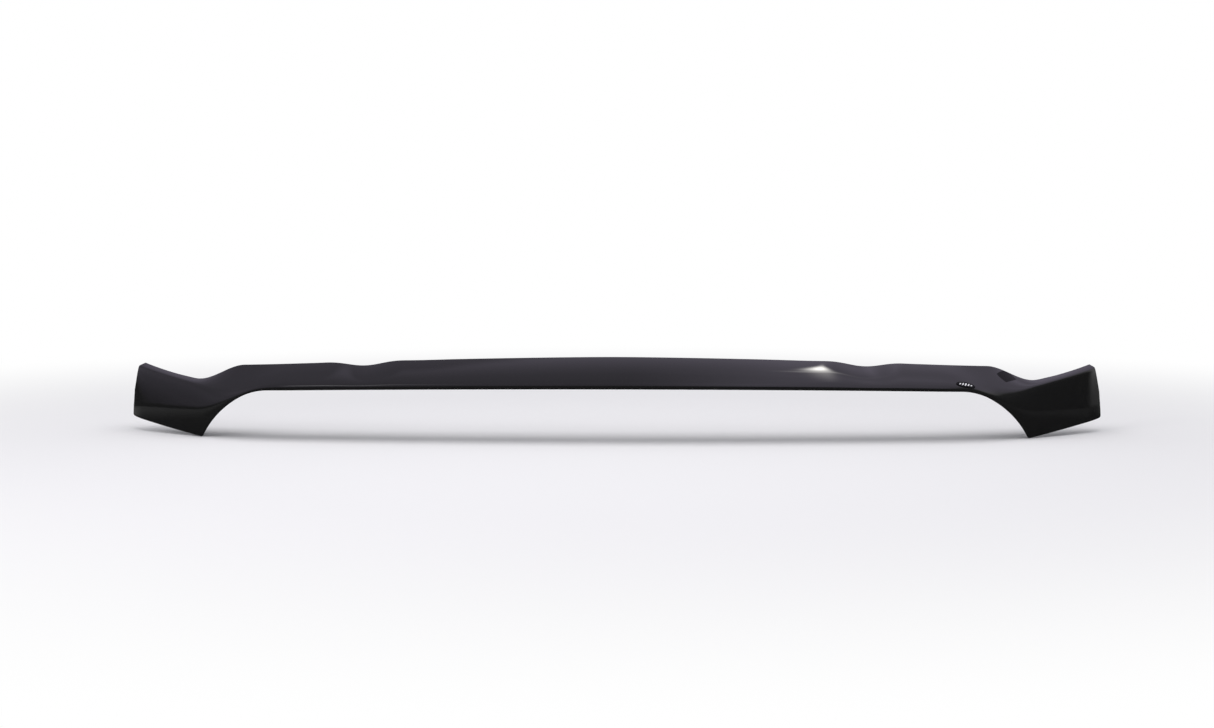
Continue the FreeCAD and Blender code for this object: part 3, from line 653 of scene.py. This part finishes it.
# One bumper is a grid rolled round its axis: its profile is half a rounded square, drawn in
# towards the end. One stands at each point, along that point's axis.
tree, given = new_tree("moulded_bumper", ["Base Radius", "End Radius", "Height", "Squareness"])
sheet = add(tree, "GeometryNodeMeshGrid", {
    "Size X": 1.0, "Size Y": 1.0, "Vertices X": ROUND_POINTS, "Vertices Y": PROFILE_POINTS})
here = add(tree, "GeometryNodeInputPosition")
at = add(tree, "ShaderNodeSeparateXYZ", {0: here.outputs[0]})
turn = calc(tree, "MULTIPLY", at.outputs["X"], 2 * math.pi)
tilt = calc(tree, "MULTIPLY", at.outputs["Y"], math.pi)
power = calc(tree, "DIVIDE", 2.0, given["Squareness"])
across = calc(tree, "COSINE", tilt)
out = calc(tree, "POWER", calc(tree, "ABSOLUTE", across), power)
rise = calc(tree, "SINE", tilt)
sign = calc(tree, "SIGN", rise)
rise = calc(tree, "POWER", calc(tree, "ABSOLUTE", rise), power)
share = calc(tree, "MULTIPLY_ADD", calc(tree, "MULTIPLY", rise, sign), 0.5, 0.5)
taper = mixed_value(tree, share, given["Base Radius"], given["End Radius"])
radius = calc(tree, "MULTIPLY", taper, out)
height = calc(tree, "MULTIPLY", share, given["Height"])
flat = add(tree, "ShaderNodeCombineXYZ", {"X": radius, "Z": height})
spot = add(tree, "ShaderNodeVectorRotate", {"Vector": flat.outputs["Vector"], "Angle": turn},
           rotation_type="Z_AXIS")
rolled = add(tree, "GeometryNodeSetPosition", {"Geometry": sheet.outputs["Mesh"],
                                               "Position": spot.outputs["Vector"]})
closed = add(tree, "GeometryNodeMergeByDistance", {"Geometry": rolled.outputs["Geometry"],
                                                   "Distance": MERGE_DISTANCE * MM})
smooth = add(tree, "GeometryNodeSetShadeSmooth", {"Geometry": closed.outputs["Geometry"]})
stand = add(tree, "FunctionNodeAlignRotationToVector", {"Vector": kept_vector(tree, "axis")}, axis="Z")
placed = add(tree, "GeometryNodeInstanceOnPoints", {
    "Points": given["Geometry"], "Instance": smooth.outputs["Geometry"],
    "Rotation": stand.outputs["Rotation"]})
end_tree(tree, placed.outputs["Instances"], given["Material"])

# Plasticised PVC, moulded: clear with a cool tint, glossy and slightly uneven as soft vinyl is
RIPPLE_LENGTH, RIPPLE_HEIGHT = 3.0, 0.2
clear_vinyl, shading = new_material("clear_vinyl")
place = add(shading, "ShaderNodeTexCoord").outputs["Object"]
uneven = relief(shading, noise(shading, place, RIPPLE_LENGTH, 2.0), 0.15, RIPPLE_HEIGHT)
shader = add(shading, "ShaderNodeBsdfPrincipled", {
    "Base Color": colour("#e9eef0"), "Roughness": 0.12, "IOR": 1.53, "Transmission Weight": 0.85,
    "Normal": uneven})
add(shading, "ShaderNodeOutputMaterial", {"Surface": shader.outputs["BSDF"]})
grow(bumpers, tree, {"Base Radius": BUMPER_BASE / 2 * MM, "End Radius": BUMPER_END / 2 * MM,
                     "Height": BUMPER_HEIGHT * MM, "Squareness": BUMPER_SQUARENESS,
                     "Material": clear_vinyl})
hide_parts(*[name for name in frame["nodes"] if name.startswith("bumper")])
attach(bumpers, "root")


# Badge
# A small black oval badge low on the right wing, with a silver mark of five slanted bars. It is
# a moulded blank with a raised rim, held by adhesive, with bars of stamped foil in its field.

BADGE_LENGTH, BADGE_WIDTH, BADGE_THICKNESS, BADGE_EDGE = 35.0, 16.0, 1.2, 0.5
BADGE_X, BADGE_Z = ARCH_REACH + 7.0, 4.6


def section_lengths(x):
    """Lengths along the sections at each x, for the steps of fine."""
    return lengths_along(skin(*np.broadcast_arrays(x[:, None], fine)))


badge_x = np.array([BADGE_X])
badge_t = t_at(badge_x, np.array([BADGE_Z]))
badge_lengths = section_lengths(badge_x)[0]
badge_share = np.interp(badge_t, fine, badge_lengths)[0] / badge_lengths[-1]


def on_skin(x, share):
    """Point and normal of the outer face at a share of the section's length."""
    lengths = section_lengths(x)
    t = np.array([np.interp(s * row[-1], row, fine) for s, row in zip(share, lengths)])
    return skin(x, t), skin_normal(x, t)


# Two steps on the skin, along x and along the section, turn the badge's flat sizes into places
SHARE_STEP = 0.01
(middle, beside, higher), (badge_normal, _, _) = on_skin(
    BADGE_X + np.array([0, 1, 0]), badge_share + np.array([0, 0, SHARE_STEP]))
step_x, step_share = beside - middle, (higher - middle) / SHARE_STEP
long_way = step_x / np.linalg.norm(step_x)
short_way = np.cross(badge_normal, long_way)
to_steps = (np.linalg.pinv(np.stack([step_x, step_share], axis=1))
            @ np.stack([long_way, short_way], axis=1))


def raised_shape(name, outline, rings):
    """Closed mesh of rings on the skin, each given as (share of the outline, inset, height)."""
    points, faces = [], []
    count = len(outline)
    centre = outline.mean(axis=0)
    radius = np.linalg.norm(outline - centre, axis=1, keepdims=True)
    for scale, inset, height in rings:
        flat = centre + (outline - centre) * scale * (1 - inset / radius)
        steps = flat @ to_steps.T
        point, outward = on_skin(BADGE_X + steps[:, 0], badge_share + steps[:, 1])
        points.append(point + outward * (SEAT_CLEARANCE + height))
    for k in range(len(rings) - 1):
        here = k * count + np.arange(count)
        faces += [(a, b, b + count, a + count) for a, b in zip(here, np.roll(here, -1))]
    last = (len(rings) - 1) * count
    under, over = len(rings) * count, len(rings) * count + 1
    for a, b in zip(range(count), np.roll(range(count), -1)):
        faces += [(under, b, a), (last + a, last + b, over)]
    ends = [points[0].mean(axis=0, keepdims=True), points[-1].mean(axis=0, keepdims=True)]
    return mesh_object(name, np.concatenate(points + ends), faces)


# The blank: a chamfered back edge, a round-over to the rim, and a bowl down to the flat field
OVAL_POINTS, ROUND_OVER_RINGS = 96, 6
BACK_CHAMFER, RIM_INSET, FIELD_DROP, BOWL_WIDTH = 0.15, 1.15, 0.28, 0.3
around = np.linspace(0, 2 * math.pi, OVAL_POINTS, endpoint=False)
oval = np.stack([BADGE_LENGTH / 2 * np.cos(around), BADGE_WIDTH / 2 * np.sin(around)], axis=-1)
back_edge = [(1, BACK_CHAMFER, 0.0), (1, 0.0, BACK_CHAMFER)]
round_over = [(1, BADGE_EDGE * (1 - math.cos(a)), BADGE_THICKNESS - BADGE_EDGE * (1 - math.sin(a)))
              for a in np.linspace(0, math.pi / 2, ROUND_OVER_RINGS)]
field_height = BADGE_THICKNESS - FIELD_DROP
bowl = [(1, RIM_INSET, BADGE_THICKNESS), (1, RIM_INSET + 0.4 * BOWL_WIDTH, field_height + 0.04),
        (1, RIM_INSET + BOWL_WIDTH, field_height)]
field = [(scale, RIM_INSET + BOWL_WIDTH, field_height) for scale in (0.8, 0.6, 0.4, 0.2)]
badge = raised_shape("oval_badge", oval, back_edge + round_over + bowl + field)

# Each bar is a rounded rectangle (a superellipse) that leans over; their heights form a lozenge
BAR_PITCH, BAR_HALF_WIDTH, BAR_LEAN, BAR_POWER = 5.2, 1.35, 0.5, 4.0
BAR_HALF_HEIGHTS = [2.2, 3.6, 4.4, 3.6, 2.2]
BAR_LIFT, BAR_SINK, BAR_EDGE = 0.01, 0.04, 0.1
bar_top = BADGE_THICKNESS - BAR_SINK
bar_rings = [(1, 0, field_height + BAR_LIFT), (1, 0, bar_top - BAR_EDGE), (0.95, 0, bar_top),
             (0.4, 0, bar_top)]
round_x = np.sign(np.cos(around)) * np.abs(np.cos(around)) ** (2 / BAR_POWER)
round_z = np.sign(np.sin(around)) * np.abs(np.sin(around)) ** (2 / BAR_POWER)
bars = []
for k, half_height in enumerate(BAR_HALF_HEIGHTS):
    bar_z = half_height * round_z
    bar_x = BAR_PITCH * (k - 2) + BAR_HALF_WIDTH * round_x + BAR_LEAN * bar_z
    bars.append(raised_shape("badge_bar", np.stack([bar_x, bar_z], axis=-1), bar_rings))

# Silver hot-stamping foil on the bars: pale, satin and faintly brushed along the badge
BRUSH_LENGTH, BRUSH_GRAIN = 50 / 3, 0.25
silver_foil, shading = new_material("silver_foil")
place = add(shading, "ShaderNodeTexCoord").outputs["Object"]
stretch = add(shading, "ShaderNodeMapping", {
    "Vector": place, "Scale": [1 / (size * MM) for size in (BRUSH_LENGTH, BRUSH_LENGTH, BRUSH_GRAIN)]})
brushed = add(shading, "ShaderNodeTexNoise", {
    "Vector": stretch.outputs["Vector"], "Scale": 1.0, "Detail": 3.0})
rough = add(shading, "ShaderNodeMapRange", {
    "Value": brushed.outputs["Fac"], "To Min": 0.35, "To Max": 0.5})
shader = add(shading, "ShaderNodeBsdfPrincipled", {
    "Base Color": colour("#eeeef0"), "Metallic": 0.25, "Roughness": rough.outputs["Result"]})
add(shading, "ShaderNodeOutputMaterial", {"Surface": shader.outputs["BSDF"]})

# Black ABS with a matt film over it: a fine grain, and hardly any gloss beside the acrylic's
PEEL_SIZE, PEEL_HEIGHT = 4.0, 0.1
black_film, shading = new_material("black_film")
place = add(shading, "ShaderNodeTexCoord").outputs["Object"]
peeled = relief(shading, noise(shading, place, PEEL_SIZE, 2.0), 0.1, PEEL_HEIGHT)
shader = add(shading, "ShaderNodeBsdfPrincipled", {
    "Base Color": colour("#0c0c0e"), "Roughness": 0.5, "IOR": 1.45, "Specular IOR Level": 0.12,
    "Normal": peeled})
add(shading, "ShaderNodeOutputMaterial", {"Surface": shader.outputs["BSDF"]})
badge.data.materials.append(black_film)
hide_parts("badge")
for bar in bars:
    bar.data.materials.append(silver_foil)
for piece in [badge] + bars:
    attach(piece, "root")


# Studio
# A plain pale floor just under the wings' corners, a white surround, and two lamps of soft light.
# What the gloss shows is a tent and two cards round the shield, which show in nothing else.

FLOOR_Z, FLOOR_REACH = cad_low.z - 0.0005, 12.0
FADE_START, FADE_END = 0.8, 2.2


def seen_directly(tree):
    """Socket that is 1 where the camera, the gloss or a clear piece looks, and 0 for soft light."""
    ray = add(tree, "ShaderNodeLightPath")
    seen = calc(tree, "MAXIMUM", ray.outputs["Is Camera Ray"], ray.outputs["Is Glossy Ray"])
    return calc(tree, "MAXIMUM", seen, ray.outputs["Is Transmission Ray"])


# Matt white paper: it takes the shield's shadow, and farther out it fades into the white surround
pale_floor, tree = new_material("pale_floor")
place = add(tree, "ShaderNodeTexCoord").outputs["Object"]
matt = add(tree, "ShaderNodeBsdfDiffuse", {"Color": colour("#eceaec")})
white = add(tree, "ShaderNodeEmission", {"Color": (1, 1, 1, 1), "Strength": 1.0})
away = add(tree, "ShaderNodeVectorMath", {0: place}, operation="LENGTH")
fade = add(tree, "ShaderNodeMapRange", {
    "Value": away.outputs["Value"], "From Min": FADE_START, "From Max": FADE_END},
    interpolation_type="SMOOTHSTEP")
whiter = calc(tree, "MULTIPLY", fade.outputs["Result"], seen_directly(tree))
mixed = add(tree, "ShaderNodeMixShader", {"Fac": whiter, 1: matt.outputs["BSDF"],
                                          2: white.outputs["Emission"]})
add(tree, "ShaderNodeOutputMaterial", {"Surface": mixed.outputs["Shader"]})


def stage_piece(name, points, faces, material):
    """Piece of the stage, from points in metres."""
    made = mesh_object(name, np.array(points) / MM, faces)
    made.data.materials.append(material)
    return made


square = np.array([(-1, -1), (1, -1), (1, 1), (-1, 1)])
floor_points = [(FLOOR_REACH * across, FLOOR_REACH * along, FLOOR_Z) for across, along in square]
floor = stage_piece("floor", floor_points, [(0, 1, 2, 3)], pale_floor)
floor.visible_glossy = False

# Tent: a dome that shows only in the gloss, with its brightness painted on. Behind and overhead
# it is a violet-grey sky that brightens to the right, with one soft light in front on the left.
# The left side keeps a horizon with a dark line, and the right side is almost black as far as
# the white corner behind.
TENT_RADIUS, TENT_TURNS = 40.0, 240
SKY_TINT = np.array([1.10, 1.0, 1.28])
FRONT_LIGHT, FRONT_LIGHT_SPREAD, FRONT_LIGHT_STRENGTH = np.array([-0.35, -0.64, 0.69]), 0.09, 3.0


def tent_light(direction):
    """Colour of the tent in each direction, as light that a mirror would show."""
    x, y, z = np.moveaxis(direction, -1, 0)
    over = np.degrees(np.arctan2(z, y))  # 0 level behind, 90 overhead, 180 level in front
    height = np.degrees(np.arcsin(np.clip(z, -1, 1)))
    stops = [-2, 0, 15, 24, 36, 45, 60, 82, 135, 160, 176, 180]
    darker = np.interp(over, stops,
                       [0.02, 0.13, 0.11, 0.115, 0.14, 0.18, 0.26, 0.34, 0.42, 0.36, 0.30, 0.02])
    lighter = np.interp(over, stops,
                        [0.02, 0.12, 0.12, 0.22, 0.225, 0.23, 0.26, 0.35, 0.42, 0.36, 0.30, 0.02])
    sky = mix(darker, lighter, blend(over / 180 + 1.11 * x, 0.045, 0.09))
    low_gain = np.interp(x, [0.0, 0.05, 0.09, 0.14, 0.25, 0.4], [1.0, 1.15, 1.45, 1.15, 1.2, 1.4])
    high_gain = np.interp(x, [0.0, 0.05, 0.1, 0.15, 0.2, 0.4], [1.0, 1.4, 1.9, 2.3, 2.1, 1.8])
    sky = sky * mix(low_gain, high_gain, blend(over, 33, 58))
    left = np.interp(height, [-11, -9, -7.5, -6.4, -6.0, -3.5, -2.3, -0.5, 5, 12, 30],
                     [0.035, 0.13, 0.23, 0.24, 0.03, 0.03, 0.14, 0.26, 0.36, 0.43, 0.40])
    right = np.interp(height, [-12, -10, -8, -6.5, -5.5, 0, 15, 35],
                      [0.03, 0.03, 0.09, 0.10, 0.02, 0.03, 0.05, 0.09])
    corner = np.interp(height, [-8, -5, -3, -1, 3, 25, 50], [0.02, 0.10, 0.25, 0.45, 0.75, 0.85, 0.3])
    right = mix(right, corner, blend(y, 0.05, 0.25))
    left_share, right_share = blend(-x, 0.5, 0.8), blend(x, 0.42, 0.68)
    plain = mix(mix(sky, left, left_share), right, right_share)
    tint = mix(1.0, SKY_TINT, (np.where(height > -3, 1.0, 0.0) * (1 - right_share))[..., None])
    from_light = np.linalg.norm(direction - FRONT_LIGHT, axis=-1) / FRONT_LIGHT_SPREAD
    front_light = FRONT_LIGHT_STRENGTH * np.exp(-from_light ** 2)
    return plain[..., None] * tint + front_light[..., None]


turns = np.linspace(0, 2 * math.pi, TENT_TURNS, endpoint=False)
tilts = np.radians(np.concatenate([np.linspace(-90, -13, 12), np.arange(-12.5, 5, 0.25),
                                   np.linspace(5, 70, 66), np.linspace(72, 90, 10)]))
turns, tilts = np.meshgrid(turns, tilts, indexing="ij")
dome = np.stack([np.cos(turns) * np.cos(tilts), np.sin(turns) * np.cos(tilts), np.sin(tilts)], axis=-1)

# Painted reflection light that shines by itself, with the brightness of each place
painted_reflection, tree = new_material("painted_reflection")
painted = add(tree, "ShaderNodeAttribute", attribute_name="light")
glow = add(tree, "ShaderNodeEmission", {"Color": painted.outputs["Color"], "Strength": 1.0})
add(tree, "ShaderNodeOutputMaterial", {"Surface": glow.outputs["Emission"]})
index = np.arange(dome.shape[0] * dome.shape[1]).reshape(dome.shape[:2])
tent = stage_piece("tent", TENT_RADIUS * dome.reshape(-1, 3), quads(np.concatenate([index, index[:1]])),
                   painted_reflection)


def paint(piece, light):
    """Paints a piece of the stage with its light at each point."""
    light = np.concatenate([light, np.ones((len(light), 1))], axis=1)
    painting = piece.data.color_attributes.new("light", "FLOAT_COLOR", "POINT")
    painting.data.foreach_set("color", light.ravel())


paint(tent, tent_light(dome.reshape(-1, 3)))


def card_points(middle, facing, across, up):
    """Points of a flat card that faces a direction, at distances across and up from its middle."""
    sideways = np.cross(facing, [0, 0, 1])
    sideways /= np.linalg.norm(sideways)
    upwards = np.cross(sideways, facing)
    return middle + np.multiply.outer(across, sideways) + np.multiply.outer(up, upwards)


# Star card: a clear sheet over the place where the right dip begins, with a painted glint on it
# that shines by itself, which shows as one painted star highlight in the gloss. The glint is a hot
# spot that widens upwards, a soft beam that climbs from it and leans to the right, and thin rays to its
# sides.
STAR_SHOWS_AT, STAR_FACES = np.array([0.360, 0.0672, 0.0318]), np.array([0.0864, 0.822, 0.5628])
STAR_DISTANCE, STAR_COLOUR = 0.3, np.array([1.02, 1.0, 0.94])
HOT_LIGHT, BEAM_LIGHT, RAY_LIGHT = 7.0, 1.6, 1.1
across, up = np.meshgrid(np.linspace(-0.12, 0.15, 91), np.linspace(-0.08, 0.42, 101), indexing="ij")
hot_width = np.clip(0.015 + 0.4 * up, 0.005, 0.028)
hot = HOT_LIGHT * np.exp(-(across / hot_width) ** 2 - ((up - 0.006) / 0.022) ** 2)
beam = BEAM_LIGHT * np.exp(-((across - 0.004 - 0.23 * up) / 0.026) ** 2 - up / 0.15)
beam = beam * blend(up, 0.0, 0.05) * (1 - blend(up, 0.30, 0.42))
ray_height = up - 0.042 + 0.235 * across
rays = RAY_LIGHT * np.exp(-((across - 0.005) / 0.052) ** 2 - (ray_height / 0.009) ** 2)
painted_glint, tree = new_material("painted_star_glint")
painted = add(tree, "ShaderNodeAttribute", attribute_name="light")
glow = add(tree, "ShaderNodeEmission", {"Color": painted.outputs["Color"], "Strength": 1.0})
clear = add(tree, "ShaderNodeBsdfTransparent")
both = add(tree, "ShaderNodeAddShader", {0: glow.outputs["Emission"], 1: clear.outputs["BSDF"]})
add(tree, "ShaderNodeOutputMaterial", {"Surface": both.outputs["Shader"]})
star_points = card_points(STAR_SHOWS_AT + STAR_FACES * STAR_DISTANCE, STAR_FACES, across, up)
star_faces = quads(np.arange(across.size).reshape(across.shape))
star_card = stage_piece("star_card", star_points.reshape(-1, 3), star_faces, painted_glint)
paint(star_card, (hot + beam + rays).reshape(-1, 1) * STAR_COLOUR)

# Dark card: a small card behind the right shoulder that shines dimly by itself, which leaves one
# painted dark patch in the gloss
CARD_AT, CARD_FACES = np.array([0.719, 0.210, 0.046]), np.array([0.335, 0.837, 0.432])
CARD_HALF_WIDTH, CARD_HALF_HEIGHT = 0.009, 0.022
painted_dark_patch, tree = new_material("painted_dark_patch")
glow = add(tree, "ShaderNodeEmission", {"Color": colour("#4f4b56"), "Strength": 1.0})
add(tree, "ShaderNodeOutputMaterial", {"Surface": glow.outputs["Emission"]})
card_across, card_up = CARD_HALF_WIDTH * square[:, 0], CARD_HALF_HEIGHT * square[:, 1]
dark_points = card_points(CARD_AT, CARD_FACES, card_across, card_up)
dark_card = stage_piece("dark_card", dark_points, [(0, 1, 2, 3)], painted_dark_patch)
for piece in (tent, star_card, dark_card):
    piece.visible_camera = False
    piece.visible_diffuse = False
    piece.visible_shadow = False
    piece.visible_transmission = False

# The surround is plain white where it is seen, and a softer light on the object
world = bpy.data.worlds.new("studio")
bpy.context.scene.world = world
world.use_nodes = True
tree = world.node_tree
tree.nodes.clear()
soft = add(tree, "ShaderNodeBackground", {"Color": colour("#f4f6fa"), "Strength": 0.6})
plain = add(tree, "ShaderNodeBackground", {"Color": (1, 1, 1, 1), "Strength": 1.0})
mixed = add(tree, "ShaderNodeMixShader", {
    "Fac": seen_directly(tree), 1: soft.outputs["Background"], 2: plain.outputs["Background"]})
add(tree, "ShaderNodeOutputWorld", {"Surface": mixed.outputs["Shader"]})


def lamp(name, place, target, size, power):
    """Square soft box at a place, turned towards a target, that doesn't show in the gloss."""
    data = bpy.data.lights.new(name, "AREA")
    data.size = size
    data.energy = power
    made = bpy.data.objects.new(name, data)
    made.location = place
    direction = np.array(target) - np.array(place)
    made.rotation_euler = (math.atan2(math.hypot(*direction[:2]), -direction[2]), 0,
                           math.atan2(-direction[0], direction[1]))
    made.visible_glossy = False
    bpy.context.scene.collection.objects.link(made)


lamp("top_lamp", (0, -0.4, 2.6), (0, 0.1, 0), 3.0, 45)
lamp("left_lamp", (-2.2, -2.4, 1.6), (0, 0, 0), 1.2, 18)

# Camera with a long lens, 4.5 m in front, a little right of the middle and above
CAMERA_PLACE, LENS_LENGTH = (0.084, -4.5, 0.433), 77.93
LOOKS_DOWN, LOOKS_LEFT = math.radians(4.934), math.radians(1.2)
camera_data = bpy.data.cameras.new("camera")
camera_data.sensor_width = 36.0
camera_data.lens = LENS_LENGTH
camera_data.clip_end = 100.0
camera = bpy.data.objects.new("camera", camera_data)
camera.location = CAMERA_PLACE
camera.rotation_euler = (math.pi / 2 - LOOKS_DOWN, 0, LOOKS_LEFT)
bpy.context.scene.collection.objects.link(camera)
bpy.context.scene.camera = camera
bpy.context.scene.view_settings.view_transform = "Standard"
